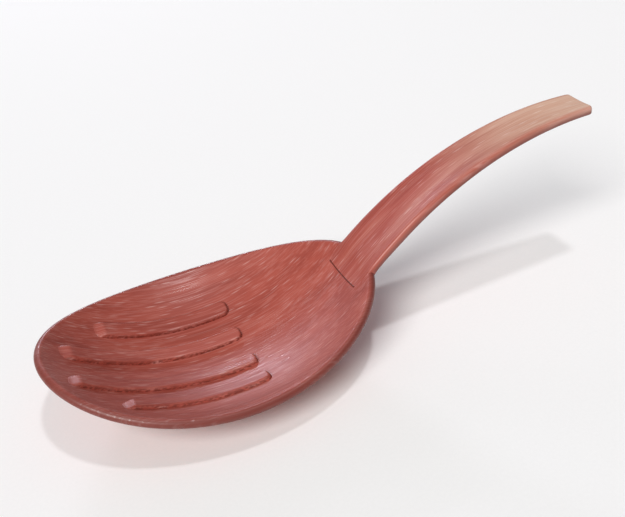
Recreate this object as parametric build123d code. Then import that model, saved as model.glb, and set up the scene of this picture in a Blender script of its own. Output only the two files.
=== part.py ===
from build123d import *
import os
from math import asin, atan, cos, degrees, sin, tan

# A wooden serving spoon in two glued pieces: a shallow carved bowl, and a steamed and bent strip for a
# handle. +X runs from the bowl to the handle's end, +Y to the left, +Z up. The spoon stands on a small flat
# planed on the underside of the bowl, and the origin is the middle of that flat. Sizes are in millimetres.

# Bowl. The hollow is part of a ball. The wall has an even thickness near the lip, and thickens towards the
# flat it stands on.
BOWL_LENGTH = 117.4          # outline along X, measured across the middle of the lip
BOWL_WIDTH = 87.6            # outline along Y, measured in the same way
HOLLOW_RADIUS = 79.8         # of the ball that the hollow is part of
LIP_WALL = 3.1
FLOOR_WALL = 2.9             # wood left between the lowest point of the hollow and the resting flat
FLAT_DIAMETER = 44.0         # of the resting flat, which has to reach past the centre of mass
BASE_DIAMETER = 78.0         # of the thicker middle; outside it the wall has an even thickness
LIP_ROUND = 1.0              # rounding of both edges of the lip

# Four ribs are left standing when the hollow is carved, so that a scoop of food doesn't stick flat.
RIB_WIDTH = 6.8
RIB_HEIGHT = 1.4
RIB_CORNER = 2.6             # corner radius in plan
RIB_OFFSETS = (8.4, 22.2)    # from the centre line to the middle of an inner and of an outer rib
RIB_TIP_ENDS = (-51.0, -37.6)  # X where an inner and an outer rib start
RIB_ROOT_END = 11.3          # X where all four ribs end
RIB_RAMP = 3.4               # length of the sloping end nearest the tip

# Handle. Its foot is let into the bowl's inner face, flush with the hollow. Past the lip the strip sweeps
# up and over in one bend, and keeps the slight crosswise curve that it has in the bowl.
HANDLE_THICKNESS = 3.4
HANDLE_BEND = 134.3          # radius of the bend, measured to the strip's upper face
HANDLE_LENGTH = 105.7        # along the bend
HANDLE_ROOT_WIDTH = 23.2     # where the bend starts, just inside the lip
HANDLE_MIDDLE_WIDTH = 19.4
HANDLE_END_WIDTH = 14.6
HANDLE_EDGE_ROUND = 1.1      # rounding of the long edges and the free end's edges
HANDLE_CORNER = 1.8          # corner radius at the free end, in plan
FOOT_LENGTH = 6.6            # from the start of the bend back into the bowl
FOOT_END_WIDTH = 20.2
FOOT_THICKNESS = 1.7
FOOT_BEVEL = 0.35            # on the foot's end, which leaves a fine line across the hollow
ROOT_INSET = 3.0             # from the middle of the lip inwards to the start of the bend
GLUE_GAP = 0.12              # thickness of the glue on every side of the foot

# Two wooden pegs are driven in square to the wall from below, and cut flush. They stop inside the foot.
PEG_DIAMETER = 2.6
PEG_SPACING = 11.0
PEG_COVER = 0.7              # wood left over the blind end of a peg
PEG_CLEARANCE = 0.02         # round a peg in its hole

# Worked out from the sizes above.
LIP_RADIUS = HOLLOW_RADIUS + LIP_WALL / 2
OUTER_RADIUS = HOLLOW_RADIUS + LIP_WALL
CENTRE_HEIGHT = HOLLOW_RADIUS + FLOOR_WALL
LIP_END_ANGLE = asin(BOWL_LENGTH / 2 / LIP_RADIUS)
LIP_SIDE_ANGLE = asin(BOWL_WIDTH / 2 / LIP_RADIUS)
ROOT_ANGLE = asin((BOWL_LENGTH / 2 - ROOT_INSET) / LIP_RADIUS)
FOOT_BOTTOM_RADIUS = HOLLOW_RADIUS + FOOT_THICKNESS
FOOT_END_ANGLE = ROOT_ANGLE - FOOT_LENGTH / HOLLOW_RADIUS
BEND_END_ANGLE = ROOT_ANGLE - HANDLE_LENGTH / HANDLE_BEND
PEG_ANGLE = (FOOT_END_ANGLE + ROOT_ANGLE) / 2 + PEG_DIAMETER / 4 / HOLLOW_RADIUS
BASE_ANGLE = asin(BASE_DIAMETER / 2 / OUTER_RADIUS)
REACH = 2 * HOLLOW_RADIUS    # more than the bowl measures, for shapes that cut right through it
CENTRE = Pos(0, 0, CENTRE_HEIGHT)


def ball(radius):
    """A ball about the centre of the hollow."""
    return CENTRE * Sphere(radius)


def on_ball(radius, angle):
    """X and Z of a point that far from the hollow's centre, at that angle from straight down."""
    return (radius * sin(angle), CENTRE_HEIGHT - radius * cos(angle))


def seat(x, y):
    """A place on the hollow at that X and Y, with its own Z pointing at the hollow's centre."""
    turn = asin(-x / HOLLOW_RADIUS)
    lean = asin(y / (HOLLOW_RADIUS * cos(turn)))
    return CENTRE * Rot(degrees(lean), 0, 0) * Rot(0, degrees(turn), 0) * Pos(0, 0, -HOLLOW_RADIUS)


def beyond(angle):
    """Everything past the plane through the hollow's centre at that angle from straight down."""
    return CENTRE * Rot(0, -degrees(angle), 0) * Pos(REACH / 2, 0, 0) * Box(REACH, REACH, 2 * REACH)


def bend_centre():
    """The point that the handle bends about, in the XZ plane."""
    x, z = on_ball(HOLLOW_RADIUS, ROOT_ANGLE)
    return (x + HANDLE_BEND * sin(ROOT_ANGLE), z - HANDLE_BEND * cos(ROOT_ANGLE))


def lip_cone(extra=0.0):
    """The oval cone from the hollow's centre through the lip, larger all round by that much at the lip."""
    half_length = REACH * tan(LIP_END_ANGLE + extra / LIP_RADIUS)
    half_width = REACH * tan(LIP_SIDE_ANGLE + extra / LIP_RADIUS)
    oval = Pos(0, 0, -REACH) * Ellipse(half_length, half_width)
    return CENTRE * loft([Vertex(0, 0, 0), oval.face()])


def outer_body():
    """The solid inside the bowl's outer face: a ball, and a flatter curve down to the resting flat."""
    top_angle = (LIP_END_ANGLE + BASE_ANGLE) / 2 + LIP_END_ANGLE / 2
    join = on_ball(OUTER_RADIUS, BASE_ANGLE)
    top = on_ball(OUTER_RADIUS, top_angle)
    with BuildSketch(Plane.XZ) as half:
        with BuildLine():
            Line((0, 0), (FLAT_DIAMETER / 2, 0))
            TangentArc(join, (FLAT_DIAMETER / 2, 0), tangent=(-cos(BASE_ANGLE), -sin(BASE_ANGLE)))
            ThreePointArc(join, on_ball(OUTER_RADIUS, (BASE_ANGLE + top_angle) / 2), top)
            Line(top, (0, top[1]))
            Line((0, top[1]), (0, 0))
        make_face()
    return revolve(half.sketch, Axis.Z)


def rib(offset, tip_end):
    """One rib: a rounded bar that follows the hollow, with a sloping end nearest the tip."""
    plan = RectangleRounded(RIB_ROOT_END - tip_end, RIB_WIDTH, RIB_CORNER)
    column = extrude(Pos((RIB_ROOT_END + tip_end) / 2, offset, 0) * plan, CENTRE_HEIGHT / 2)
    bar = (column & ball(HOLLOW_RADIUS + LIP_WALL / 3)) - ball(HOLLOW_RADIUS - RIB_HEIGHT)
    ramp = seat(tip_end, offset) * Rot(0, -degrees(atan(RIB_HEIGHT / RIB_RAMP)), 0)
    return bar - ramp * Pos(0, 0, RIB_WIDTH) * Box(4 * RIB_RAMP, 3 * RIB_WIDTH, 2 * RIB_WIDTH)


def handle_column(extra=0.0):
    """The handle's outline from above, drawn upwards, and larger by that much along the foot's sides."""
    x, z = bend_centre()
    root_x = on_ball(HOLLOW_RADIUS, ROOT_ANGLE)[0]
    middle_x = x - HANDLE_BEND * sin((ROOT_ANGLE + BEND_END_ANGLE) / 2)
    end_x = x - HANDLE_BEND * sin(BEND_END_ANGLE)
    foot = (root_x - 2 * FOOT_LENGTH, FOOT_END_WIDTH - HANDLE_ROOT_WIDTH / 2 + extra)
    root = (root_x, HANDLE_ROOT_WIDTH / 2 + extra)
    middle = (middle_x, HANDLE_MIDDLE_WIDTH / 2)
    end = (end_x, HANDLE_END_WIDTH / 2)
    with BuildSketch() as plan:
        with BuildLine():
            Line((foot[0], 0), foot)
            Line(foot, root)
            Spline(root, middle, end)
            Line(end, (end_x, 0))
            mirror(about=Plane.XZ)
        make_face()
        fillet(plan.vertices().sort_by(Axis.X)[-2:], HANDLE_CORNER)
    return extrude(plan.sketch, REACH)


def make_handle():
    """The handle: a strip bent past the lip, with a thin foot that lies in the bowl's housing."""
    inner, outer = HOLLOW_RADIUS, HOLLOW_RADIUS + HANDLE_THICKNESS
    half_angle = degrees(asin(HANDLE_ROOT_WIDTH / HOLLOW_RADIUS))
    across = Plane((0, 0, CENTRE_HEIGHT), x_dir=(0, 1, 0), z_dir=(cos(ROOT_ANGLE), 0, sin(ROOT_ANGLE)))
    with BuildSketch(across) as section:
        with BuildLine():
            low = CenterArc((0, 0), outer, -90 - half_angle, 2 * half_angle)
            high = CenterArc((0, 0), inner, -90 - half_angle, 2 * half_angle)
            Line(low @ 0, high @ 0)
            Line(low @ 1, high @ 1)
        make_face()
    x, z = bend_centre()
    past_end = 2 * HANDLE_CORNER / HANDLE_BEND
    turn = degrees(ROOT_ANGLE - BEND_END_ANGLE + past_end)
    bend = revolve(section.sketch, Axis((x, 0, z), (0, 1, 0)), turn) & handle_column()
    past_root = on_ball(outer + HANDLE_EDGE_ROUND, ROOT_ANGLE)[0]
    free = [e for e in bend.edges() if e.bounding_box().max.X > past_root and e.geom_type != GeomType.LINE]
    bend = fillet(free, HANDLE_EDGE_ROUND)
    foot = (handle_column() & ball(outer)) - ball(inner)
    strip = ((foot & beyond(FOOT_END_ANGLE)) - beyond(ROOT_ANGLE)) + bend
    handle = strip - (lip_cone(GLUE_GAP) - ball(FOOT_BOTTOM_RADIUS))
    foot_end = handle.faces().filter_by(GeomType.PLANE).sort_by(Axis.X)[0]
    return chamfer(foot_end.edges().sort_by(Axis.Z)[-1], FOOT_BEVEL)


def housing(depth, extra):
    """What is cut from the bowl's inner face to that depth, larger than the foot by that much all round."""
    end_angle = FOOT_END_ANGLE - extra / HOLLOW_RADIUS
    return handle_column(extra) & ball(HOLLOW_RADIUS + depth) & beyond(end_angle)


def make_blank():
    """The carved bowl with its ribs, before anything is cut for the handle."""
    blank = (outer_body() & lip_cone()) - ball(HOLLOW_RADIUS)
    lip = [e for e in blank.edges().filter_by(GeomType.BSPLINE) if e.length > BOWL_LENGTH]
    blank = fillet(lip, LIP_ROUND)
    for offset, tip_end in zip(RIB_OFFSETS, RIB_TIP_ENDS):
        blank += [rib(offset, tip_end), rib(-offset, tip_end)]
    return blank


def peg_shape(side, extra=0.0):
    """A peg square to the wall, on that side of the centre line, larger all round by that much."""
    length = HANDLE_THICKNESS + LIP_WALL
    middle = Pos(0, side * PEG_SPACING / 2, -HOLLOW_RADIUS - PEG_COVER - length / 2)
    uncut = CENTRE * Rot(0, -degrees(PEG_ANGLE), 0) * middle * Cylinder(PEG_DIAMETER / 2 + extra, length)
    return uncut & outer_body()


holes = [peg_shape(side, PEG_CLEARANCE) for side in (1, -1)]
handle = make_handle() - holes
pocket = housing(FOOT_THICKNESS + GLUE_GAP, GLUE_GAP)
bowl = make_blank() - pocket - holes
glue_film = ((pocket & lip_cone(GLUE_GAP)) - ball(HOLLOW_RADIUS)) - handle - bowl - holes
parts = {
    "bowl": bowl,
    "handle": handle,
    "glue_film": glue_film,
    "peg_left": peg_shape(1),
    "peg_right": peg_shape(-1),
}

os.makedirs("parts", exist_ok=True)
for name, shape in parts.items():
    export_step(shape, f"parts/{name}.step")
    print(name, round(shape.volume, 2), "mm3 in", len(shape.solids()), "solid")
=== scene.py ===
# %% [markdown]
# # A stained wooden serving spoon
#
# The spoon is a shallow oval bowl with four raised ribs, and a broad flat handle that rises from it and
# bends level. This file builds what the eye sees of it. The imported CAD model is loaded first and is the
# frame that everything is placed in: metres, +X from the bowl to the handle's end, +Z up, and the origin in
# the middle of the flat that the spoon stands on.

# %% Load the frame
import bmesh
import bpy
from math import asin, cos, pi, sin, sqrt
from mathutils import Matrix, Vector


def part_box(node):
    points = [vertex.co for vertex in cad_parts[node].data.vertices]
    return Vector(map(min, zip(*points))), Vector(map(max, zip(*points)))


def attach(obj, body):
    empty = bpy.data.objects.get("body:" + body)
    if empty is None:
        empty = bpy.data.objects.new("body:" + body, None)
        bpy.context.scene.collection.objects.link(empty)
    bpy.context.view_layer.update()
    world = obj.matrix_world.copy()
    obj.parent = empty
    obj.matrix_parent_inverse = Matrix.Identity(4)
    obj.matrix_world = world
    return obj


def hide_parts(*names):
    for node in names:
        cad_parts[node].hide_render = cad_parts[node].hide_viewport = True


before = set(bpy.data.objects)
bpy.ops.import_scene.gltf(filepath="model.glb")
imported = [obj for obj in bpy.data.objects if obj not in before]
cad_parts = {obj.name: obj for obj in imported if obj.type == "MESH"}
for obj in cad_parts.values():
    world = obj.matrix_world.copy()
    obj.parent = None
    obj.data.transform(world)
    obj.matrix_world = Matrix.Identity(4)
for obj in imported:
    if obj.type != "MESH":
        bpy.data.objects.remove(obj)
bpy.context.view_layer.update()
MM = 0.001
print("CAD nodes:", sorted(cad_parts))

# %% [markdown]
# ## The sizes that the looks share with the CAD model
#
# The hollow of the bowl is part of a ball, and nearly everything else is placed from that ball's centre.
# The height of the centre, and the angles at which the lip and the handle sit, follow from a few sizes. The
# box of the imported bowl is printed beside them, so a slip would show at once.

# %% Driving sizes
BOWL_LENGTH = 117.4 * MM      # across the middle of the lip
BOWL_WIDTH = 87.6 * MM
HOLLOW_RADIUS = 79.8 * MM
LIP_WALL = 3.1 * MM
FLOOR_WALL = 2.9 * MM
FLAT_DIAMETER = 44.0 * MM
BASE_DIAMETER = 78.0 * MM
CENTRE_HEIGHT = HOLLOW_RADIUS + FLOOR_WALL
LIP_RADIUS = HOLLOW_RADIUS + LIP_WALL / 2
OUTER_RADIUS = HOLLOW_RADIUS + LIP_WALL
ROOT_INSET = 3.0 * MM
ROOT_ANGLE = asin((BOWL_LENGTH / 2 - ROOT_INSET) / LIP_RADIUS)
low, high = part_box("bowl")
print("bowl is", [round((b - a) / MM, 1) for a, b in zip(low, high)], "mm in CAD")

# %% [markdown]
# ## One helper for every node tree
#
# Both the shapes and the finishes are node trees. A tree is easier to read as a list of steps, so one small
# function adds a node, sets it up, and feeds its inputs either with a number or with another node's output.
# It returns the node's first output, ready to be fed to the next step.

# %% The node helper
def add(tree, kind, inputs=(), **settings):
    """Adds a node with its settings, fills or links its inputs, and returns its first output."""
    node = tree.nodes.new(kind)
    for name, value in settings.items():
        setattr(node, name, value)
    pairs = inputs.items() if isinstance(inputs, dict) else enumerate(inputs)
    for key, value in pairs:
        if isinstance(value, bpy.types.NodeSocket):
            tree.links.new(value, node.inputs[key])
        elif value is not None:
            node.inputs[key].default_value = value
    return node.outputs[0] if node.outputs else None


def new_shape_tree(name, sizes):
    """A Geometry Nodes tree with one named size input for each name, and its output for the mesh."""
    tree = bpy.data.node_groups.new(name, "GeometryNodeTree")
    for size_name in sizes:
        tree.interface.new_socket(size_name, in_out="INPUT", socket_type="NodeSocketFloat")
    tree.interface.new_socket("Geometry", in_out="OUTPUT", socket_type="NodeSocketGeometry")
    return tree, tree.nodes.new("NodeGroupInput").outputs


def grow(name, tree, values):
    """Runs a tree with these sizes and returns the result as an object with a plain mesh."""
    seed = bpy.data.objects.new(name + "_seed", bpy.data.meshes.new(name + "_seed"))
    bpy.context.collection.objects.link(seed)
    modifier = seed.modifiers.new("shape", "NODES")
    modifier.node_group = tree
    for item in tree.interface.items_tree:
        if item.in_out == "INPUT":
            modifier[item.identifier] = values[item.name]
    grown = seed.evaluated_get(bpy.context.evaluated_depsgraph_get())
    mesh = bpy.data.meshes.new_from_object(grown)
    mesh.name = name
    bpy.data.objects.remove(seed)
    piece = bpy.data.objects.new(name, mesh)
    bpy.context.collection.objects.link(piece)
    print(name, "has", len(mesh.polygons), "faces")
    return piece


# %% [markdown]
# ## Colours
#
# Colours are picked as the hex codes of a paint chart, which are sRGB. Shaders work in linear light, so one
# function turns the first into the second.

# %% Colours
def linear(code):
    """A linear RGBA colour from an sRGB hex code such as "A0522D"."""
    parts = [int(code[i:i + 2], 16) / 255 for i in (0, 2, 4)]
    return [p / 12.92 if p <= 0.04045 else ((p + 0.055) / 1.055) ** 2.4 for p in parts] + [1.0]


print("brick red in linear light is", [round(c, 3) for c in linear("A54B3D")])

# %% [markdown]
# ## Stained open-pored wood, oiled to a satin
#
# The wood is a coarse tropical hardwood. The grain runs the length of the spoon, so every pattern is long
# along X and narrow across it. Four scales make it: broad bands of growth, fine fibres, open pores that run
# as long grooves a little under a millimetre apart, and short pale dashes. The pale of the pores is partly
# their own colour and partly a painted glint, where a pore's edge would catch the light. Oil leaves the
# wood satin, and glossier in the grooves where it gathers.
#
# The patterns read attributes of the mesh, so that they follow the bent handle too. Grain holds the
# distance along the grain, across it and into the wood. Crease and rim say where painted shade darkens the
# corners at the ribs' feet, the lip and the lower sides of the handle. On the handle, worn says how much of
# the stain the hand has rubbed off.

# %% Wood finish: colours and sizes
RED_DARK, RED_MID, RED_LIGHT = linear("8E3A2E"), linear("A54B3D"), linear("B45C4E")
TAN_DARK, TAN_LIGHT = linear("C9977F"), linear("DFBEA8")
# the pale of the pores is partly their own colour and partly a painted glint
PORE_AND_GLINT_PALE, PORE_AND_GLINT_CREAM = linear("E6BBB4"), linear("FFF4EA")
# painted shade: brown in the corners at the ribs' feet, also the rings of the dowels; dark on lip and sides
SHADE_AND_RING_BROWN, RIM_SHADE_COLOUR = linear("6E2B20"), linear("6A2F28")
PORE_SPACING, PORE_LENGTH = 0.75 * MM, 70 * MM
DASH_SPACING, DASH_LENGTH = 1.1 * MM, 10 * MM
FIBRE_SPACING, FIBRE_LENGTH = 0.5 * MM, 18 * MM   # finer in real wood, drawn coarser so that it shows
BAND_WIDTH, BAND_LENGTH = 8 * MM, 60 * MM
SWAY = 3.0 * MM                # how far the lines of the grain stray to one side
GROOVE_RELIEF = 0.03 * MM      # height of the bump; a deeper one would scatter the sheen
PORE_AND_GLINT_SHARE = 0.28              # how far the pores go towards their pale colour, partly a painted glint
RIM_SHADE_SHARE = 0.75               # the same for the painted shade on the lip and the handle's sides
print("pores are", PORE_SPACING / MM, "mm apart, and", PORE_LENGTH / MM, "mm long")

# %% [markdown]
# Grain in a real plank is never quite straight, so the coordinates are pushed aside by a soft noise before
# any pattern reads them. A Voronoi texture makes both kinds of pore. It gives the distance to the nearest
# of many scattered points, so every point is the middle of a round mark, and coordinates that are scaled
# far more along the grain than across it draw each mark out into a long thin one.


# %% Wood finish: grain and pores
def stretched(tree, grain, along, across, deep):
    """The grain coordinates scaled so that one unit is that long, that wide and that deep in the wood."""
    return add(tree, "ShaderNodeMapping", {"Vector": grain, "Scale": (1 / along, 1 / across, 1 / deep)})


def swaying_grain(tree):
    """The grain attribute, pushed aside so that the lines sway a little."""
    grain = add(tree, "ShaderNodeAttribute", attribute_name="grain").node.outputs["Vector"]
    sway = add(tree, "ShaderNodeTexNoise", {
        "Vector": stretched(tree, grain, 45 * MM, 16 * MM, 30 * MM), "Scale": 1.0, "Detail": 1.0})
    sway = add(tree, "ShaderNodeMath", [sway, SWAY], operation="MULTIPLY")
    aside = add(tree, "ShaderNodeCombineXYZ", [0.0, sway, 0.0])
    return add(tree, "ShaderNodeVectorMath", [grain, aside], operation="ADD")


def open_pores(tree, grain, length, spacing, deep, heart, edge):
    """Long thin marks: 1 out to heart from the middle of a mark, in marks, and down to 0 at edge."""
    cells = add(tree, "ShaderNodeTexVoronoi", {
        "Vector": stretched(tree, grain, length, spacing, deep), "Scale": 1.0})
    return add(tree, "ShaderNodeMapRange", {
        "Value": cells, "From Min": heart, "From Max": edge, "To Min": 1.0, "To Max": 0.0})


print("grain sways by up to", SWAY / MM, "mm")

# %% [markdown]
# The finish is put together in the order in which the wood got it. The growth bands and fibres give the
# tone of the stain. On the handle, bare wood then comes through where the stain is worn. Pale pores, partly
# a painted glint, and painted shade in the corners and on the rim go over that. Last come the gloss of the
# oil and the relief of the grooves.


# %% Wood finish: the material
def stained_wood(name, fades):
    """Red-stained wood. If it fades, the stain is worn off to bare tan wood where worn is high."""
    material = bpy.data.materials.new(name)
    material.use_nodes = True
    tree = material.node_tree
    shader = tree.nodes["Principled BSDF"]
    # Growth: broad bands and fine fibres. Pores: long grooves and short dashes.
    grain = swaying_grain(tree)
    bands = add(tree, "ShaderNodeTexNoise", {
        "Vector": stretched(tree, grain, BAND_LENGTH, BAND_WIDTH, 12 * MM), "Scale": 1.0, "Detail": 3.0})
    fibres = add(tree, "ShaderNodeTexNoise", {
        "Vector": stretched(tree, grain, FIBRE_LENGTH, FIBRE_SPACING, 2 * MM), "Scale": 1.0, "Detail": 2.0})
    groove = open_pores(tree, grain, PORE_LENGTH, PORE_SPACING, 5 * MM, heart=0.14, edge=0.34)
    dash = open_pores(tree, grain, DASH_LENGTH, DASH_SPACING, 8 * MM, heart=0.10, edge=0.26)
    # Oil gathers in the grooves, and half as much on the tallest fibres.
    streak = add(tree, "ShaderNodeMapRange", {"Value": fibres, "From Min": 0.52, "From Max": 0.62})
    streak = add(tree, "ShaderNodeMath", [streak, 0.5], operation="MULTIPLY")
    streak = add(tree, "ShaderNodeMath", [streak, groove], operation="MAXIMUM")
    # Stain: the bands set the tone, and the fibres vary it half as much.
    tone = add(tree, "ShaderNodeMath", [fibres, 0.5, bands], operation="MULTIPLY_ADD")
    tone = add(tree, "ShaderNodeMapRange", {"Value": tone, "From Min": 0.45, "From Max": 1.05})
    colour = add(tree, "ShaderNodeValToRGB", {"Fac": tone})
    ramp = colour.node.color_ramp
    ramp.elements[0].color, ramp.elements[1].color = RED_DARK, RED_LIGHT
    ramp.elements.new(0.5).color = RED_MID
    pore_and_glint_colour = PORE_AND_GLINT_PALE
    # Wear: the bands make its edge uneven, as soft and hard wood lose their stain at different rates.
    if fades:
        bare = add(tree, "ShaderNodeMix", {"Factor": tone, 6: TAN_DARK, 7: TAN_LIGHT}, data_type="RGBA")
        bare = bare.node.outputs[2]
        worn = add(tree, "ShaderNodeAttribute", attribute_name="worn").node.outputs["Fac"]
        worn = add(tree, "ShaderNodeMath", [bands, 0.6, worn], operation="MULTIPLY_ADD")
        worn = add(tree, "ShaderNodeMapRange", {"Value": worn, "From Min": 0.30, "From Max": 1.25})
        colour = add(tree, "ShaderNodeMix", {"Factor": worn, 6: colour, 7: bare}, data_type="RGBA")
        colour = colour.node.outputs[2]
        pore_and_glint_colour = add(tree, "ShaderNodeMix", {"Factor": worn, 6: PORE_AND_GLINT_PALE, 7: PORE_AND_GLINT_CREAM},
                          data_type="RGBA").node.outputs[2]
    # Pale pores, partly their own colour and partly painted glints, then painted shade
    # in ragged corners and along the rim.
    pale_pore_and_glint = add(tree, "ShaderNodeMath", [streak, 0.6, dash], operation="MULTIPLY_ADD")
    pale_pore_and_glint = add(tree, "ShaderNodeMath", [pale_pore_and_glint, PORE_AND_GLINT_SHARE], operation="MULTIPLY")
    colour = add(tree, "ShaderNodeMix", {"Factor": pale_pore_and_glint, 6: colour, 7: pore_and_glint_colour},
                 data_type="RGBA").node.outputs[2]
    crease_shade = add(tree, "ShaderNodeAttribute", attribute_name="crease_shade").node.outputs["Fac"]
    ragged = add(tree, "ShaderNodeTexNoise", {
        "Vector": stretched(tree, grain, 1.4 * MM, 0.6 * MM, 0.6 * MM), "Scale": 1.0, "Detail": 2.0})
    ragged = add(tree, "ShaderNodeMapRange", {"Value": ragged, "From Min": 0.38, "From Max": 0.58})
    crease_shade = add(tree, "ShaderNodeMath", [crease_shade, ragged], operation="MULTIPLY")
    colour = add(tree, "ShaderNodeMix", {"Factor": crease_shade, 6: colour, 7: SHADE_AND_RING_BROWN},
                 data_type="RGBA").node.outputs[2]
    rim_shade = add(tree, "ShaderNodeAttribute", attribute_name="rim_shade").node.outputs["Fac"]
    rim_shade = add(tree, "ShaderNodeMath", [rim_shade, RIM_SHADE_SHARE], operation="MULTIPLY")
    colour = add(tree, "ShaderNodeMix", {"Factor": rim_shade, 6: colour, 7: RIM_SHADE_COLOUR},
                 data_type="RGBA").node.outputs[2]
    tree.links.new(colour, shader.inputs["Base Color"])
    # Gloss and relief: smooth where oil has gathered, and the grooves lie lower than the fibres.
    rough = add(tree, "ShaderNodeMapRange", {"Value": streak, "To Min": 0.46, "To Max": 0.20})
    tree.links.new(rough, shader.inputs["Roughness"])
    depth = add(tree, "ShaderNodeMath", [groove, -1.2, fibres], operation="MULTIPLY_ADD")
    bump = add(tree, "ShaderNodeBump", {"Height": depth, "Strength": 0.6, "Distance": GROOVE_RELIEF})
    tree.links.new(bump, shader.inputs["Normal"])
    shader.inputs["IOR"].default_value = 1.5
    return material


bowl_wood = stained_wood("red_stained_hardwood_carved_and_oiled", fades=False)
handle_wood = stained_wood("red_stained_hardwood_worn_to_tan", fades=True)
print("wood finishes:", bowl_wood.name, handle_wood.name)

# %% [markdown]
# ## The bowl
#
# A carver hollows the bowl with a curved gouge, so the hollow is part of a ball, and the outline is an oval
# cut square to the wall. That is a rule, so the bowl is a Geometry Nodes tree: a flat grid whose one side
# runs round the oval, and whose other side runs from the middle of the hollow, over the rounded lip, and
# back under to the middle of the base. Set Position wraps the grid into that shape, and Merge by Distance
# closes it.

# %% Bowl tree: the grid and the two angles that place each point
HOLLOW_SHARE = 0.45            # of the grid's length that the hollow takes, and the outside takes as much
POINTS_ROUND, POINTS_ALONG = 289, 161
FLAT_BLEND = 0.4 * MM          # how softly the wall runs into the flat that the spoon stands on
WELD = 0.02 * MM               # grid points nearer than this become one
bowl_tree, size = new_shape_tree("carved_bowl", ["Length", "Width", "Hollow radius", "Lip wall",
                                                 "Centre height", "Base angle", "Base swell"])
grid = add(bowl_tree, "GeometryNodeMeshGrid", [1.0, 1.0, POINTS_ROUND, POINTS_ALONG])
place = add(bowl_tree, "ShaderNodeSeparateXYZ", [add(bowl_tree, "GeometryNodeInputPosition")]).node.outputs
turn = add(bowl_tree, "ShaderNodeMath", [place["X"], 2 * pi, pi], operation="MULTIPLY_ADD")
run = add(bowl_tree, "ShaderNodeMath", [place["Y"], 0.5], operation="ADD")
cosine = add(bowl_tree, "ShaderNodeMath", [turn], operation="COSINE")
sine = add(bowl_tree, "ShaderNodeMath", [turn], operation="SINE")
half_wall = add(bowl_tree, "ShaderNodeMath", [size["Lip wall"], 0.5], operation="MULTIPLY")
lip_radius = add(bowl_tree, "ShaderNodeMath", [size["Hollow radius"], half_wall], operation="ADD")
spread = []
for side, share in (("Length", cosine), ("Width", sine)):
    half = add(bowl_tree, "ShaderNodeMath", [size[side], 0.5], operation="MULTIPLY")
    angle = add(bowl_tree, "ShaderNodeMath", [half, lip_radius], operation="DIVIDE")
    angle = add(bowl_tree, "ShaderNodeMath", [angle], operation="ARCSINE")
    opening = add(bowl_tree, "ShaderNodeMath", [angle], operation="TANGENT")
    part = add(bowl_tree, "ShaderNodeMath", [share, opening], operation="DIVIDE")
    spread.append(add(bowl_tree, "ShaderNodeMath", [part, 2.0], operation="POWER"))
spread = add(bowl_tree, "ShaderNodeMath", spread, operation="ADD")
spread = add(bowl_tree, "ShaderNodeMath", [spread], operation="SQRT")
lip_angle = add(bowl_tree, "ShaderNodeMath", [1.0, spread], operation="ARCTAN2")
rounding = add(bowl_tree, "ShaderNodeMath", [half_wall, lip_radius], operation="DIVIDE")
lip_angle = add(bowl_tree, "ShaderNodeMath", [lip_angle, rounding], operation="SUBTRACT")
print("bowl tree has", len(bowl_tree.nodes), "nodes so far")

# %% [markdown]
# The wall is wrapped next. Along the grid, one share goes up the hollow, a short middle share goes over the
# lip in a half circle, and the rest goes back under. Below a certain angle the outside swells, and
# everything under the table's height is pressed up to it, which leaves the flat that the spoon stands on.

# %% Bowl tree: wrapping the wall
over_lip = add(bowl_tree, "ShaderNodeMapRange",
               {"Value": run, "From Min": HOLLOW_SHARE, "From Max": 1 - HOLLOW_SHARE, "To Max": pi})
up = add(bowl_tree, "ShaderNodeMapRange", {"Value": run, "From Max": HOLLOW_SHARE})
back = add(bowl_tree, "ShaderNodeMapRange",
           {"Value": run, "From Min": 1 - HOLLOW_SHARE, "From Max": 1.0, "To Min": 1.0, "To Max": 0.0})
reach = add(bowl_tree, "ShaderNodeMath", [up, back], operation="MULTIPLY")
reach = add(bowl_tree, "ShaderNodeMath", [reach, lip_angle], operation="MULTIPLY")
lip_turn = add(bowl_tree, "ShaderNodeMath", [over_lip], operation="SINE")
angle = add(bowl_tree, "ShaderNodeMath", [lip_turn, rounding, reach], operation="MULTIPLY_ADD")
inward = add(bowl_tree, "ShaderNodeMath", [over_lip], operation="COSINE")
inward = add(bowl_tree, "ShaderNodeMath", [inward, half_wall], operation="MULTIPLY")
radius = add(bowl_tree, "ShaderNodeMath", [lip_radius, inward], operation="SUBTRACT")
below = add(bowl_tree, "ShaderNodeMath", [size["Base angle"], angle], operation="SUBTRACT")
below = add(bowl_tree, "ShaderNodeMath", [below, 0.0], operation="MAXIMUM")
below = add(bowl_tree, "ShaderNodeMath", [below, 2.0], operation="POWER")
outside = add(bowl_tree, "ShaderNodeMath", [run, 0.5], operation="GREATER_THAN")
below = add(bowl_tree, "ShaderNodeMath", [below, outside], operation="MULTIPLY")
radius = add(bowl_tree, "ShaderNodeMath", [below, size["Base swell"], radius], operation="MULTIPLY_ADD")
flat_out = add(bowl_tree, "ShaderNodeMath", [angle], operation="SINE")
downward = add(bowl_tree, "ShaderNodeMath", [angle], operation="COSINE")
flat_out = add(bowl_tree, "ShaderNodeMath", [flat_out, radius], operation="MULTIPLY")
depth = add(bowl_tree, "ShaderNodeMath", [downward, radius], operation="MULTIPLY")
height = add(bowl_tree, "ShaderNodeMath", [size["Centre height"], depth], operation="SUBTRACT")
height = add(bowl_tree, "ShaderNodeMath", [height, 0.0, FLAT_BLEND], operation="SMOOTH_MAX")
wrapped = add(bowl_tree, "ShaderNodeCombineXYZ", [
    add(bowl_tree, "ShaderNodeMath", [flat_out, cosine], operation="MULTIPLY"),
    add(bowl_tree, "ShaderNodeMath", [flat_out, sine], operation="MULTIPLY"), height])

print("bowl tree has", len(bowl_tree.nodes), "nodes so far")
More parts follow.
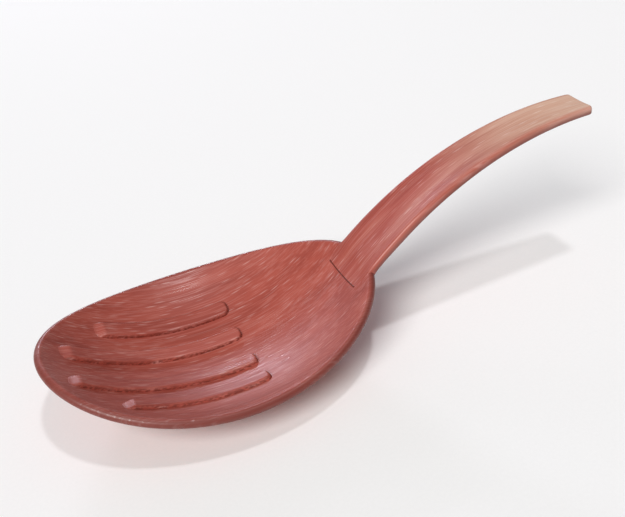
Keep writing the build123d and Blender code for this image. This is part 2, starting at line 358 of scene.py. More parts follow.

# %% [markdown]
# The lip and the outside below it are painted darker, as shade, so the tree stores an attribute, rim, that
# rises over the lip and fades again down the outside. It is stored on the flat grid, before the wall is
# wrapped, because the numbers it comes from read the grid's own places. Grain is stored after, because it
# is the place on the finished bowl.

# %% Bowl tree: closing the wall and naming what the finish needs
# painted shade: rim marks the lip and the outside below it to be darkened
near_lip = add(bowl_tree, "ShaderNodeMapRange", {"Value": back, "From Min": 0.90, "From Max": 1.0})
painted_rim_shade = add(bowl_tree, "ShaderNodeMapRange", {
    "Value": over_lip, "From Min": 0.05 * pi, "From Max": 0.4 * pi})
painted_rim_shade = add(bowl_tree, "ShaderNodeMath", [painted_rim_shade, near_lip], operation="MULTIPLY")
bowl_shape = add(bowl_tree, "GeometryNodeStoreNamedAttribute",
                 {"Geometry": grid, "Name": "rim_shade", "Value": painted_rim_shade}, data_type="FLOAT", domain="POINT")
bowl_shape = add(bowl_tree, "GeometryNodeSetPosition", {"Geometry": bowl_shape, "Position": wrapped})
bowl_shape = add(bowl_tree, "GeometryNodeStoreNamedAttribute", {
    "Geometry": bowl_shape, "Name": "grain", "Value": add(bowl_tree, "GeometryNodeInputPosition")},
    data_type="FLOAT_VECTOR", domain="POINT")
bowl_shape = add(bowl_tree, "GeometryNodeMergeByDistance", {"Geometry": bowl_shape, "Distance": WELD})
bowl_shape = add(bowl_tree, "GeometryNodeSetShadeSmooth", {"Geometry": bowl_shape})
bowl_shape = add(bowl_tree, "GeometryNodeRealizeInstances", [bowl_shape])
bowl_shape = add(bowl_tree, "GeometryNodeSetMaterial", {"Geometry": bowl_shape, "Material": bowl_wood})
add(bowl_tree, "NodeGroupOutput", [bowl_shape])

# %% Bowl
base_angle = asin(BASE_DIAMETER / 2 / OUTER_RADIUS)
flat_angle = asin(FLAT_DIAMETER / 2 / OUTER_RADIUS)
swell_at_flat = CENTRE_HEIGHT / cos(flat_angle) - OUTER_RADIUS
bowl = grow("bowl", bowl_tree, {
    "Length": BOWL_LENGTH, "Width": BOWL_WIDTH, "Hollow radius": HOLLOW_RADIUS, "Lip wall": LIP_WALL,
    "Centre height": CENTRE_HEIGHT, "Base angle": base_angle,
    "Base swell": swell_at_flat / (base_angle - flat_angle) ** 2})


def outward(piece):
    """Turns a closed mesh's faces outwards if they point in, and prints the volume that it holds."""
    shape = bmesh.new()
    shape.from_mesh(piece.data)
    if shape.calc_volume(signed=True) < 0:
        bmesh.ops.reverse_faces(shape, faces=shape.faces)
    open_edges = sum(1 for edge in shape.edges if not edge.is_manifold)
    print(piece.name, "holds", round(shape.calc_volume() / MM ** 3), "mm3,", open_edges, "open edges")
    shape.to_mesh(piece.data)
    shape.free()


outward(bowl)

# %% [markdown]
# ## The four ribs
#
# The ribs are left standing when the hollow is carved. Each is a bar with rounded shoulders and rounded
# ends, and it slopes down into the floor at the end nearest the tip. They repeat, so one tree makes them
# all from an offset and a starting place. A block is wrapped onto the hollow, and each point of its top is
# lifted by how far it lies inside the rib's outline. The finish paints shade as a dark line in the corner at
# the rib's foot, so the tree also stores how close each point is to that corner.

# %% Rib tree: the block and how far each point lies inside the outline
RIB_SINK = 0.5 * MM            # how deep a rib's underside lies in the bowl's wood
RIB_SKIRT = 0.02 * MM          # points this near the outline go down into the wood, to hide the edge
BLOCK_ALONG, BLOCK_ACROSS = 241, 37   # points of the block
rib_tree, size = new_shape_tree("carved_rib", [
    "Offset", "Tip end", "Root end", "Rib width", "Rib height", "Corner", "Ramp", "Shoulder",
    "Hollow radius", "Centre height"])
block = add(rib_tree, "GeometryNodeMeshCube", [(1.0, 1.0, 1.0), BLOCK_ALONG, BLOCK_ACROSS, 2])
place = add(rib_tree, "ShaderNodeSeparateXYZ", [add(rib_tree, "GeometryNodeInputPosition")]).node.outputs
length = add(rib_tree, "ShaderNodeMath", [size["Root end"], size["Tip end"]], operation="SUBTRACT")
middle = add(rib_tree, "ShaderNodeMath", [size["Root end"], size["Tip end"]], operation="ADD")
middle = add(rib_tree, "ShaderNodeMath", [middle, 0.5], operation="MULTIPLY")
along = add(rib_tree, "ShaderNodeMath", [place["X"], length], operation="MULTIPLY")
aside = add(rib_tree, "ShaderNodeMath", [place["Y"], size["Rib width"]], operation="MULTIPLY")
past_corner = []
for distance, whole in ((along, length), (aside, size["Rib width"])):
    half = add(rib_tree, "ShaderNodeMath", [whole, 0.5, size["Corner"]], operation="MULTIPLY_ADD")
    twice = add(rib_tree, "ShaderNodeMath", [size["Corner"], -2.0, half], operation="MULTIPLY_ADD")
    size_now = add(rib_tree, "ShaderNodeMath", [distance], operation="ABSOLUTE")
    past_corner.append(add(rib_tree, "ShaderNodeMath", [size_now, twice], operation="SUBTRACT"))
outer_part = [add(rib_tree, "ShaderNodeMath", [d, 0.0], operation="MAXIMUM") for d in past_corner]
outer_part = add(rib_tree, "ShaderNodeCombineXYZ", outer_part)
outer_part = add(rib_tree, "ShaderNodeVectorMath", [outer_part], operation="LENGTH").node.outputs["Value"]
inner_part = add(rib_tree, "ShaderNodeMath", past_corner, operation="MAXIMUM")
inner_part = add(rib_tree, "ShaderNodeMath", [inner_part, 0.0], operation="MINIMUM")
outside_by = add(rib_tree, "ShaderNodeMath", [outer_part, inner_part], operation="ADD")
inside_by = add(rib_tree, "ShaderNodeMath", [size["Corner"], outside_by], operation="SUBTRACT")
print("rib tree has", len(rib_tree.nodes), "nodes so far")

# %% [markdown]
# The height of the top follows from that. Over the width of the shoulder it rises as a quarter circle does,
# and along the ramp it rises smoothly from the floor. The sides and the underside go down into the bowl's
# wood.

# %% Rib tree: the raised top
shoulder = add(rib_tree, "ShaderNodeMapRange", {
    "Value": inside_by, "From Max": size["Shoulder"], "To Min": 1.0, "To Max": 0.0})
shoulder = add(rib_tree, "ShaderNodeMath", [shoulder, 2.0], operation="POWER")
shoulder = add(rib_tree, "ShaderNodeMath", [1.0, shoulder], operation="SUBTRACT")
shoulder = add(rib_tree, "ShaderNodeMath", [shoulder], operation="SQRT")
from_tip = add(rib_tree, "ShaderNodeMath", [length, 0.5, along], operation="MULTIPLY_ADD")
ramp = add(rib_tree, "ShaderNodeMapRange", {"Value": from_tip, "From Max": size["Ramp"]},
           interpolation_type="SMOOTHSTEP")
raised = add(rib_tree, "ShaderNodeMath", [shoulder, ramp], operation="MULTIPLY")
raised = add(rib_tree, "ShaderNodeMath", [raised, size["Rib height"]], operation="MULTIPLY")
sunk = add(rib_tree, "ShaderNodeMath", [inside_by, RIB_SKIRT], operation="LESS_THAN")
under = add(rib_tree, "ShaderNodeMath", [place["Z"], 0.0], operation="LESS_THAN")
sunk = add(rib_tree, "ShaderNodeMath", [sunk, -RIB_SINK / 2, raised], operation="MULTIPLY_ADD")
raised = add(rib_tree, "ShaderNodeMix", [under, None, sunk, -RIB_SINK], data_type="FLOAT")

# %% [markdown]
# Each point is then dropped onto the ball and pulled towards the ball's centre by its height, so that the
# rib stands square to the floor everywhere.

# %% Rib tree: laying the rib on the hollow
across = add(rib_tree, "ShaderNodeCombineXYZ", [
    add(rib_tree, "ShaderNodeMath", [along, middle], operation="ADD"),
    add(rib_tree, "ShaderNodeMath", [aside, size["Offset"]], operation="ADD"), 0.0])
away = add(rib_tree, "ShaderNodeVectorMath", [across, across], operation="DOT_PRODUCT").node.outputs["Value"]
drop = add(rib_tree, "ShaderNodeMath", [size["Hollow radius"], 2.0], operation="POWER")
drop = add(rib_tree, "ShaderNodeMath", [drop, away], operation="SUBTRACT")
drop = add(rib_tree, "ShaderNodeMath", [drop], operation="SQRT")
drop = add(rib_tree, "ShaderNodeMath", [drop, -1.0], operation="MULTIPLY")
drop = add(rib_tree, "ShaderNodeCombineXYZ", [0, 0, drop])
on_floor = add(rib_tree, "ShaderNodeVectorMath", [across, drop], operation="ADD")
lift = add(rib_tree, "ShaderNodeMath", [raised, size["Hollow radius"]], operation="DIVIDE")
lift = add(rib_tree, "ShaderNodeMath", [1.0, lift], operation="SUBTRACT")
lifted = add(rib_tree, "ShaderNodeVectorMath", {0: on_floor, "Scale": lift}, operation="SCALE")
centre = add(rib_tree, "ShaderNodeCombineXYZ", [0.0, 0.0, size["Centre height"]])
lifted = add(rib_tree, "ShaderNodeVectorMath", [lifted, centre], operation="ADD")
print("rib tree has", len(rib_tree.nodes), "nodes so far")

# %% Rib tree: the corner that gets painted shade, and the finish
CREASE_SHADE_WIDTH = 0.75 * MM
# painted shade: the corner at the rib's foot is darkened by the finish
crease_shade = add(rib_tree, "ShaderNodeMapRange", {
    "Value": inside_by, "From Max": CREASE_SHADE_WIDTH, "To Min": 1.0, "To Max": 0.0})
crease_shade = add(rib_tree, "ShaderNodeMath", [crease_shade, ramp], operation="MULTIPLY")
rib_shape = add(rib_tree, "GeometryNodeStoreNamedAttribute",
                {"Geometry": block, "Name": "crease_shade", "Value": crease_shade}, data_type="FLOAT", domain="POINT")
rib_shape = add(rib_tree, "GeometryNodeSetPosition", {"Geometry": rib_shape, "Position": lifted})
rib_shape = add(rib_tree, "GeometryNodeStoreNamedAttribute", {
    "Geometry": rib_shape, "Name": "grain", "Value": add(rib_tree, "GeometryNodeInputPosition")},
    data_type="FLOAT_VECTOR", domain="POINT")
rib_shape = add(rib_tree, "GeometryNodeSetShadeSmooth", {"Geometry": rib_shape})
rib_shape = add(rib_tree, "GeometryNodeRealizeInstances", [rib_shape])
rib_shape = add(rib_tree, "GeometryNodeSetMaterial", {"Geometry": rib_shape, "Material": bowl_wood})
add(rib_tree, "NodeGroupOutput", [rib_shape])
print("rib tree has", len(rib_tree.nodes), "nodes")

# %% [markdown]
# The two inner ribs start nearer the tip than the two outer ones, because the oval is longer there. All
# four end on one line across the bowl.

# %% Four ribs
RIB_ROOT_END = 11.3 * MM
RIB_WIDTH, RIB_HEIGHT, RIB_CORNER = 6.8 * MM, 1.4 * MM, 2.6 * MM
RIB_RAMP, RIB_SHOULDER = 3.6 * MM, 1.1 * MM
INNER_RIB, OUTER_RIB = (8.4 * MM, -51.0 * MM), (22.2 * MM, -37.6 * MM)
ribs = []
for kind, (offset, tip_end) in (("inner", INNER_RIB), ("outer", OUTER_RIB)):
    for side, sign in (("left", 1), ("right", -1)):
        rib = grow(f"rib_{kind}_{side}", rib_tree, {
            "Offset": sign * offset, "Tip end": tip_end, "Root end": RIB_ROOT_END, "Rib width": RIB_WIDTH,
            "Rib height": RIB_HEIGHT, "Corner": RIB_CORNER, "Ramp": RIB_RAMP, "Shoulder": RIB_SHOULDER,
            "Hollow radius": HOLLOW_RADIUS, "Centre height": CENTRE_HEIGHT})
        outward(rib)
        ribs.append(rib)

# %% [markdown]
# ## The handle
#
# The handle is a strip of the same wood, bent with steam over a round form. It keeps the slight crosswise
# curve of the bowl. The mesh is made the way a lofted surface is: a ring of points that follows the section
# is set at many stations along the strip, and each ring is joined to the next. Near the free end the rings
# shrink, which rounds the edges and the corners.

# %% Handle section
HANDLE_BEND = 134.3 * MM
HANDLE_LENGTH = 105.7 * MM
ROOT_WIDTH, MIDDLE_WIDTH, END_WIDTH, FOOT_WIDTH = 23.2 * MM, 19.4 * MM, 14.6 * MM, 20.2 * MM
FOOT_LENGTH = 6.6 * MM
FOOT_THICKNESS, WALL_THICKNESS, HANDLE_THICKNESS = 1.7 * MM, 3.05 * MM, 3.4 * MM
FOOT_PROUD = 0.03 * MM         # the foot stands this much above the hollow
ROOT_PROUD = 0.15 * MM         # the start of the bend stands higher, since the hollow curls up there
EDGE_ROUND = 1.1 * MM
END_CORNER = 1.8 * MM
CORNER_STEPS, FACE_STEPS = 5, 16   # of the section: round each corner, and across each face


def blend(place, start, end, first, last):
    """A value that goes smoothly from first to last between two places."""
    t = min(max((place - start) / (end - start), 0.0), 1.0)
    return first + (last - first) * t * t * (3 - 2 * t)


def handle_width(s):
    """Width at s along the strip, which is nought where the bend starts and negative in the foot."""
    if s < 0:
        return ROOT_WIDTH + (ROOT_WIDTH - FOOT_WIDTH) * s / FOOT_LENGTH
    t = s / HANDLE_LENGTH
    curve = 2 * (ROOT_WIDTH + END_WIDTH) - 4 * MIDDLE_WIDTH
    return ROOT_WIDTH + (END_WIDTH - ROOT_WIDTH - curve) * t + curve * t * t


def ring(half_width, thickness, edge, inset):
    """Points round the section, as (across, down from the top face); inset shrinks it from every side."""
    half, top, bottom = half_width, inset, thickness - inset
    edge = min(edge, (bottom - top) / 2)
    points = []
    for corner, (x, y) in enumerate(((half - edge, top + edge), (half - edge, bottom - edge),
                                     (edge - half, bottom - edge), (edge - half, top + edge))):
        for step in range(CORNER_STEPS + 1):
            turn_by = (corner - 1) * pi / 2 + step * pi / (2 * CORNER_STEPS)
            points.append((x + edge * cos(turn_by), y + edge * sin(turn_by)))
        if corner == 1:
            points += [(x - 2 * x * k / FACE_STEPS, bottom) for k in range(1, FACE_STEPS)]
    points += [(edge - half + 2 * (half - edge) * k / FACE_STEPS, top) for k in range(1, FACE_STEPS)]
    return points


def placed(s, across_by, down_by):
    """A point of the strip, from its place along the strip, across it and down from its top face."""
    slope = ROOT_ANGLE + min(s, 0) / HOLLOW_RADIUS - max(s, 0) / HANDLE_BEND
    normal = Vector((-sin(slope), 0, cos(slope)))
    hollow_centre = Vector((0, 0, CENTRE_HEIGHT))
    root_normal = Vector((-sin(ROOT_ANGLE), 0, cos(ROOT_ANGLE)))
    if s < 0:
        top = hollow_centre - HOLLOW_RADIUS * normal
    else:
        top = hollow_centre - HOLLOW_RADIUS * root_normal - HANDLE_BEND * root_normal + HANDLE_BEND * normal
    round_by = across_by / HOLLOW_RADIUS
    rise = HOLLOW_RADIUS - (HOLLOW_RADIUS + down_by) * cos(round_by)
    return top + normal * rise + Vector((0, (HOLLOW_RADIUS + down_by) * sin(round_by), 0))


print("the handle is", round(handle_width(0) / MM, 1), "mm wide at its root and",
      round(handle_width(HANDLE_LENGTH) / MM, 1), "mm at its end")

# %% [markdown]
# The stations are close together in the foot, a millimetre apart along the bend, and crowd again at the
# free end, where the corners turn.

# %% Handle stations
FOOT_STEP, BEND_STEP, END_STEPS = 0.4 * MM, 1.0 * MM, 14
stations = [-FOOT_LENGTH + FOOT_STEP * k for k in range(round(FOOT_LENGTH / FOOT_STEP))]
bend_count = round((HANDLE_LENGTH - END_CORNER) / BEND_STEP)
stations += [(HANDLE_LENGTH - END_CORNER) * k / bend_count for k in range(bend_count)]
stations += [HANDLE_LENGTH - END_CORNER * cos(pi / 2 * k / END_STEPS) for k in range(END_STEPS + 1)]
print("the handle has", len(stations), "stations")

# %% [markdown]
# At each station the section's thickness and rounding are worked out, and so is how far the strip stands
# above the hollow that it is let into. Every point also gets its grain, its wear and its share of painted
# shade. Wear grows towards the free end, and is greater on the top face than down the sides. The sides
# also darken towards the bottom edge with painted shade.

# %% Handle points
FADE_START, FADE_END = 32 * MM, 98 * MM   # along the strip, from full stain to bare wood
RIM_SHADE_DEPTH, RIM_SHADE_REACH = 0.8 * MM, 1.5 * MM   # painted shade on the sides: from this far down, and this far in
points, grain_at, worn_at, rim_shade_at = [], [], [], []
for s in stations:
    thickness = blend(s, -2 * MM, -0.5 * MM, FOOT_THICKNESS, WALL_THICKNESS)
    thickness = blend(s, 2 * MM, 18 * MM, thickness, HANDLE_THICKNESS)
    edge = blend(s, -1 * MM, 4 * MM, 0.2 * MM, EDGE_ROUND)
    to_end = HANDLE_LENGTH - s
    corner_left = max(END_CORNER - to_end, 0)
    narrower = END_CORNER - sqrt(max(END_CORNER ** 2 - corner_left ** 2, 0))
    edge_left = max(EDGE_ROUND - to_end, 0)
    thinner = EDGE_ROUND - sqrt(max(EDGE_ROUND ** 2 - edge_left ** 2, 0))
    proud = blend(s, -0.5 * MM, 2.5 * MM, FOOT_PROUD, ROOT_PROUD) - blend(s, 4 * MM, 20 * MM, 0, ROOT_PROUD)
    for across_by, down_by in ring(handle_width(s) / 2 - narrower, thickness, edge, thinner):
        points.append(placed(s, across_by, down_by - proud))
        grain_at.append((placed(0, 0, 0).x + s, across_by, down_by))
        from_edge = handle_width(s) / 2 - abs(across_by)
        worn_at.append(blend(s, FADE_START, FADE_END, 0, 1)
                       * blend(from_edge - down_by, -0.5 * MM, 2.5 * MM, 0.35, 1))
        # painted shade: the lower sides of the handle are darkened towards the bottom edge
        rim_shade_at.append(blend(down_by, RIM_SHADE_DEPTH, thickness - RIM_SHADE_DEPTH, 0, 1) * blend(s, 0, 4 * MM, 0, 1)
                      * blend(from_edge, 0, RIM_SHADE_REACH, 1, 0))
print("the handle has", len(points), "points")

# %% Handle mesh
count = len(points) // len(stations)
faces = [tuple(reversed(range(count))), tuple(len(points) - count + k for k in range(count))]
for n in range(len(stations) - 1):
    for k in range(count):
        a, b = n * count + k, n * count + (k + 1) % count
        faces.append((a, b, b + count, a + count))
mesh = bpy.data.meshes.new("handle")
mesh.from_pydata(points, [], faces)
grain_numbers = [number for place in grain_at for number in place]
mesh.attributes.new("grain", "FLOAT_VECTOR", "POINT").data.foreach_set("vector", grain_numbers)
mesh.attributes.new("worn", "FLOAT", "POINT").data.foreach_set("value", worn_at)
mesh.attributes.new("rim_shade", "FLOAT", "POINT").data.foreach_set("value", rim_shade_at)
mesh.shade_smooth()
mesh.materials.append(handle_wood)
handle = bpy.data.objects.new("handle_strip", mesh)
bpy.context.collection.objects.link(handle)
outward(handle)

# %% [markdown]
# ## The glue line
#
# The handle's foot is let into the hollow and glued. What shows of the joint is one dark line across the
# bowl, where the foot ends and the stain met glue. It follows the hollow, so it is a bead swept along a
# path: a straight line is resampled, laid on the ball, and given a round section.

# %% Glue finish
GLUE_DARK, GLUE_LIGHT = linear("5A2219"), linear("7A3529")
BLOTCH_SIZE = 1.5 * MM


def tinted_glue(name):
    """Cured wood glue, stained with the wood: darker and a little glossier than it, and slightly uneven."""
    material = bpy.data.materials.new(name)
    material.use_nodes = True
    tree = material.node_tree
    shader = tree.nodes["Principled BSDF"]
    where = add(tree, "ShaderNodeTexCoord").node.outputs["Object"]
    blotches = add(tree, "ShaderNodeTexNoise", {"Vector": where, "Scale": 1 / BLOTCH_SIZE, "Detail": 3.0})
    colour = add(tree, "ShaderNodeMix", {"Factor": blotches, 6: GLUE_DARK, 7: GLUE_LIGHT}, data_type="RGBA")
    tree.links.new(colour.node.outputs[2], shader.inputs["Base Color"])
    bump = add(tree, "ShaderNodeBump", {"Height": blotches, "Strength": 0.4, "Distance": 0.1 * MM})
    tree.links.new(bump, shader.inputs["Normal"])
    shader.inputs["Roughness"].default_value = 0.45
    shader.inputs["IOR"].default_value = 1.48
    return material


glue = tinted_glue("pva_wood_glue_tinted_by_stain")
print("glue finish:", glue.name)

# %% Glue bead
BEAD_RADIUS, BEAD_POINTS = 0.24 * MM, 64
bead_tree, size = new_shape_tree("glue_bead", ["Place", "Half width", "Bead radius", "Hollow radius",
                                               "Centre height"])
left = add(bead_tree, "ShaderNodeCombineXYZ", [size["Place"], size["Half width"], 0.0])
right = add(bead_tree, "ShaderNodeVectorMath", [left, (1.0, -1.0, 1.0)], operation="MULTIPLY")
path = add(bead_tree, "GeometryNodeCurvePrimitiveLine", {"Start": left, "End": right})
path = add(bead_tree, "GeometryNodeResampleCurve", {"Curve": path, "Count": BEAD_POINTS})
flat_place = add(bead_tree, "GeometryNodeInputPosition")
centre = add(bead_tree, "ShaderNodeCombineXYZ", [0.0, 0.0, size["Centre height"]])
away = add(bead_tree, "ShaderNodeVectorMath", [flat_place, flat_place],
           operation="DOT_PRODUCT").node.outputs["Value"]
drop = add(bead_tree, "ShaderNodeMath", [size["Hollow radius"], 2.0], operation="POWER")
drop = add(bead_tree, "ShaderNodeMath", [drop, away], operation="SUBTRACT")
drop = add(bead_tree, "ShaderNodeMath", [drop], operation="SQRT")
drop = add(bead_tree, "ShaderNodeCombineXYZ", [0.0, 0.0, drop])
laid = add(bead_tree, "ShaderNodeVectorMath", [centre, drop], operation="SUBTRACT")
laid = add(bead_tree, "ShaderNodeVectorMath", [laid, flat_place], operation="ADD")
path = add(bead_tree, "GeometryNodeSetPosition", {"Geometry": path, "Position": laid})
section = add(bead_tree, "GeometryNodeCurvePrimitiveCircle", {
    "Resolution": 12, "Radius": size["Bead radius"]})
bead = add(bead_tree, "GeometryNodeCurveToMesh", {
    "Curve": path, "Profile Curve": section, "Fill Caps": True})
bead = add(bead_tree, "GeometryNodeRealizeInstances", [bead])
bead = add(bead_tree, "GeometryNodeSetMaterial", {"Geometry": bead, "Material": glue})
add(bead_tree, "NodeGroupOutput", [bead])
foot_end = placed(-FOOT_LENGTH, 0, 0)
glue_line = grow("glue_line", bead_tree, {
    "Place": foot_end.x, "Half width": FOOT_WIDTH / 2, "Bead radius": BEAD_RADIUS,
    "Hollow radius": HOLLOW_RADIUS, "Centre height": CENTRE_HEIGHT})
outward(glue_line)

# %% [markdown]
# ## The two pegs
#
# Two wooden pegs are driven up through the wall into the foot and trimmed flush below, so only their round
# ends show. A short cylinder is put on two points with Instance on Points, and leant so that it stands
# square to the wall. The end shows end grain: rings of growth instead of long fibres, and darker, because
# end grain drinks more stain.

# %% Peg finish
RING_SPACING, SPECKLE_SIZE = 2.4 * MM, 0.25 * MM   # rings are finer in real dowels, drawn coarser to show


def end_grain(name):
    """The stained end of a dowel: fine growth rings crossed by a speckle of pores."""
    material = bpy.data.materials.new(name)
    material.use_nodes = True
    tree = material.node_tree
    shader = tree.nodes["Principled BSDF"]
    where = add(tree, "ShaderNodeTexCoord").node.outputs["Object"]
    rings = add(tree, "ShaderNodeTexWave", {"Vector": where, "Scale": 1 / RING_SPACING, "Distortion": 2.5,
                                            "Detail": 2.0}, bands_direction="Y")
    speckle = add(tree, "ShaderNodeTexNoise", {"Vector": where, "Scale": 1 / SPECKLE_SIZE, "Detail": 2.0})
    tone = add(tree, "ShaderNodeMath", [rings.node.outputs["Fac"], 0.5, speckle], operation="MULTIPLY_ADD")
    tone = add(tree, "ShaderNodeMapRange", {"Value": tone, "From Min": 0.3, "From Max": 1.0})
    colour = add(tree, "ShaderNodeMix", {"Factor": tone, 6: SHADE_AND_RING_BROWN, 7: RED_MID}, data_type="RGBA")
    tree.links.new(colour.node.outputs[2], shader.inputs["Base Color"])
    bump = add(tree, "ShaderNodeBump", {"Height": tone, "Strength": 0.4, "Distance": 0.08 * MM})
    tree.links.new(bump, shader.inputs["Normal"])
    shader.inputs["Roughness"].default_value = 0.6
    return material


peg_wood = end_grain("birch_dowel_end_grain_stained")
print("peg finish:", peg_wood.name)

# %% Pegs
PEG_RADIUS = 1.3 * MM
PEG_SPACING = 11.0 * MM
PEG_COVER = 0.7 * MM           # wood left over the blind end of a peg
PEG_PROUD = 0.05 * MM          # swollen by the oil, it stands this much out of the wall
peg_angle = ROOT_ANGLE - FOOT_LENGTH / HOLLOW_RADIUS / 2 + PEG_RADIUS / 2 / HOLLOW_RADIUS
peg_tree, size = new_shape_tree("pegs_in_wall", ["Radius", "Depth", "Spacing", "Lean", "From centre",
                                                 "Centre height"])
dowel = add(peg_tree, "GeometryNodeMeshCylinder", {
    "Vertices": 40, "Fill Segments": 5, "Radius": size["Radius"], "Depth": size["Depth"]})
points_line = add(peg_tree, "GeometryNodeMeshLine", {
    "Count": 2, "Offset": add(peg_tree, "ShaderNodeCombineXYZ", [0.0, size["Spacing"], 0.0])})
back_half = add(peg_tree, "ShaderNodeMath", [size["Spacing"], -0.5], operation="MULTIPLY")
down = add(peg_tree, "ShaderNodeMath", [size["From centre"], -1.0], operation="MULTIPLY")
shift = add(peg_tree, "ShaderNodeCombineXYZ", [0.0, back_half, down])
points_line = add(peg_tree, "GeometryNodeSetPosition", {"Geometry": points_line, "Offset": shift})
pegs_shape = add(peg_tree, "GeometryNodeInstanceOnPoints", {"Points": points_line, "Instance": dowel})
lean = add(peg_tree, "ShaderNodeCombineXYZ", [0.0, size["Lean"], 0.0])
up = add(peg_tree, "ShaderNodeCombineXYZ", [0.0, 0.0, size["Centre height"]])
pegs_shape = add(peg_tree, "GeometryNodeTransform", {
    "Geometry": pegs_shape, "Translation": up, "Rotation": lean})
pegs_shape = add(peg_tree, "GeometryNodeRealizeInstances", [pegs_shape])
pegs_shape = add(peg_tree, "GeometryNodeSetMaterial", {"Geometry": pegs_shape, "Material": peg_wood})
add(peg_tree, "NodeGroupOutput", [pegs_shape])
peg_depth = LIP_WALL - PEG_COVER
pegs = grow("pegs", peg_tree, {
    "Radius": PEG_RADIUS, "Depth": peg_depth, "Spacing": PEG_SPACING, "Lean": -peg_angle,
    "From centre": OUTER_RADIUS + PEG_PROUD - peg_depth / 2, "Centre height": CENTRE_HEIGHT})
outward(pegs)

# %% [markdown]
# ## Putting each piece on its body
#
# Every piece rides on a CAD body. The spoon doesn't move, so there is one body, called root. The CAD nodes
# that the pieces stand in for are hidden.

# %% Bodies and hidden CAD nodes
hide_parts("bowl")
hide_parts("handle")
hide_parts("glue_film")
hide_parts("peg_left", "peg_right")
for piece in (bowl, *ribs, handle, glue_line, pegs):
    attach(piece, "root")
print("pieces:", len(ribs) + 4)

# %% [markdown]
# ## The floor
#
# The spoon stands on a wide sheet of pale matte paper. A faint noise keeps its colour from being dead flat.

# %% Floor
PAPER_TOOTH = 1.0 * MM         # finer in real paper, drawn coarser so that it shows


def plain_paper(name):
    """Matte paper with a faint tooth."""
    material = bpy.data.materials.new(name)
    material.use_nodes = True
    tree = material.node_tree
    shader = tree.nodes["Principled BSDF"]
    where = add(tree, "ShaderNodeTexCoord").node.outputs["Object"]
    tooth = add(tree, "ShaderNodeTexNoise", {"Vector": where, "Scale": 1 / PAPER_TOOTH, "Detail": 2.0})
    colour = add(tree, "ShaderNodeMix", {"Factor": tooth, 6: linear("F5F5F4"), 7: linear("FAFAF9")},
                 data_type="RGBA")
    tree.links.new(colour.node.outputs[2], shader.inputs["Base Color"])
    shader.inputs["Roughness"].default_value = 0.9
    return material


FLOOR_SIZE = 60.0
FLOOR_DROP = 0.05 * MM         # the floor lies this much lower, so that no two faces share one plane
floor_mesh = bpy.data.meshes.new("floor")
half = FLOOR_SIZE / 2
floor_mesh.from_pydata([(x * half, y * half, -FLOOR_DROP) for x, y in ((-1, -1), (1, -1), (1, 1), (-1, 1))],
                       [], [(0, 1, 2, 3)])
floor_mesh.materials.append(plain_paper("matte_paper"))
floor = bpy.data.objects.new("floor", floor_mesh)
bpy.context.collection.objects.link(floor)
print("the floor is", FLOOR_SIZE, "m wide")

# %% [markdown]
# ## The lamps
#
# The main light is a soft one, high in front and to the left. It is a sun with a wide disc, because a sun
# lights the whole sheet evenly, and the width of its disc keeps the shadows soft. A small lamp overhead
# draws the glints along the lip. Two low, dim, slightly blue boxes behind the spoon are mirrored by the
# floor of the bowl and by the handle, which gives oiled wood its sheen.

# %% Lamps
SPOON_MIDDLE = Vector((0.045, 0.0, 0.025))


def aimed(name, lamp, place):
    """Puts a lamp there and turns it to face the middle of the spoon."""
    holder = bpy.data.objects.new(name, lamp)
    holder.location = place
    holder.rotation_euler = (SPOON_MIDDLE - Vector(place)).to_track_quat("-Z", "Y").to_euler()
    bpy.context.collection.objects.link(holder)


def soft_box(name, place, width, height, watts, tint):
    """A rectangular lamp of that size."""
    lamp = bpy.data.lights.new(name, "AREA")
    lamp.shape, lamp.size, lamp.size_y, lamp.energy, lamp.color = "RECTANGLE", width, height, watts, tint
    aimed(name, lamp, place)


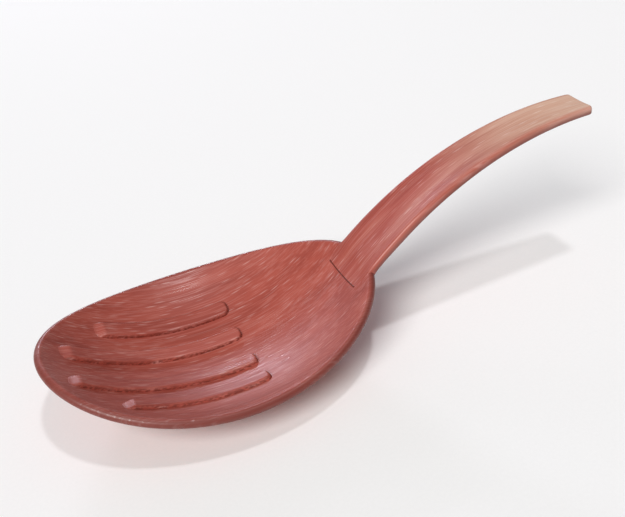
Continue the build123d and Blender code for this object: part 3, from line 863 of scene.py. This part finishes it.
key = bpy.data.lights.new("key_front_left", "SUN")
key.energy, key.angle, key.color = 2.55, 0.55, (1.0, 0.985, 0.97)   # the disc is 0.55 radians wide
aimed("key_front_left", key, (-1.05, -0.98, 1.36))
NEUTRAL, BLUISH = (0.97, 0.97, 1.0), (0.84, 0.84, 1.0)
soft_box("top", (0.26, -0.06, 1.95), 0.14, 0.14, 7.0, NEUTRAL)
soft_box("low_behind", (0.20, 1.89, 0.60), 0.40, 0.12, 6.5, BLUISH)
soft_box("strip_behind", (-0.47, 1.76, 0.81), 1.0, 0.40, 2.5, BLUISH)
print("lamps:", sorted(lamp.name for lamp in bpy.data.lights))

# %% [markdown]
# ## The air
#
# The air of the studio is a dim even light from all sides. What the camera sees of it past the floor's edge
# is brighter, as bright as the paper, so that there is no dark horizon.

# %% Studio air
AIR_LIGHT, AIR_SEEN = 0.22, 0.80
world = bpy.data.worlds.new("studio_air")
world.use_nodes = True
air = world.node_tree.nodes["Background"]
air.inputs["Color"].default_value = linear("F2F3F5")
seen = add(world.node_tree, "ShaderNodeLightPath").node.outputs["Is Camera Ray"]
strength = add(world.node_tree, "ShaderNodeMath", [seen, AIR_SEEN - AIR_LIGHT, AIR_LIGHT],
               operation="MULTIPLY_ADD")
world.node_tree.links.new(strength, air.inputs["Strength"])
bpy.context.scene.world = world
bpy.context.scene.view_settings.view_transform = "Standard"   # colours come out as they were picked
print("the air lights with", AIR_LIGHT, "and is seen as", AIR_SEEN)

# %% [markdown]
# ## The camera
#
# The camera looks down into the bowl over its long side, with the handle going away to the right. It has a
# plain lens, and it is held slightly askew, so its up direction is given as well as the way it looks.

# %% Camera
CAMERA_FROM_CENTRE = Vector((-47.72, -238.88, 113.30)) * MM   # from the centre of the hollow's ball
LOOK, UP = Vector((0.28703, 0.78830, -0.54424)), Vector((0.29918, 0.46595, 0.83269))
lens = bpy.data.cameras.new("camera")
lens.lens, lens.sensor_width = 50.0, 36.0   # both in millimetres
lens.clip_start = 0.01
camera = bpy.data.objects.new("camera", lens)
side = LOOK.cross(UP).normalized()
place = CAMERA_FROM_CENTRE + Vector((0, 0, CENTRE_HEIGHT))
camera.matrix_world = Matrix.Translation(place) @ Matrix((side, UP, -LOOK)).transposed().to_4x4()
bpy.context.collection.objects.link(camera)
bpy.context.scene.camera = camera
print("camera stands", round((place - SPOON_MIDDLE).length / MM), "mm from the spoon")
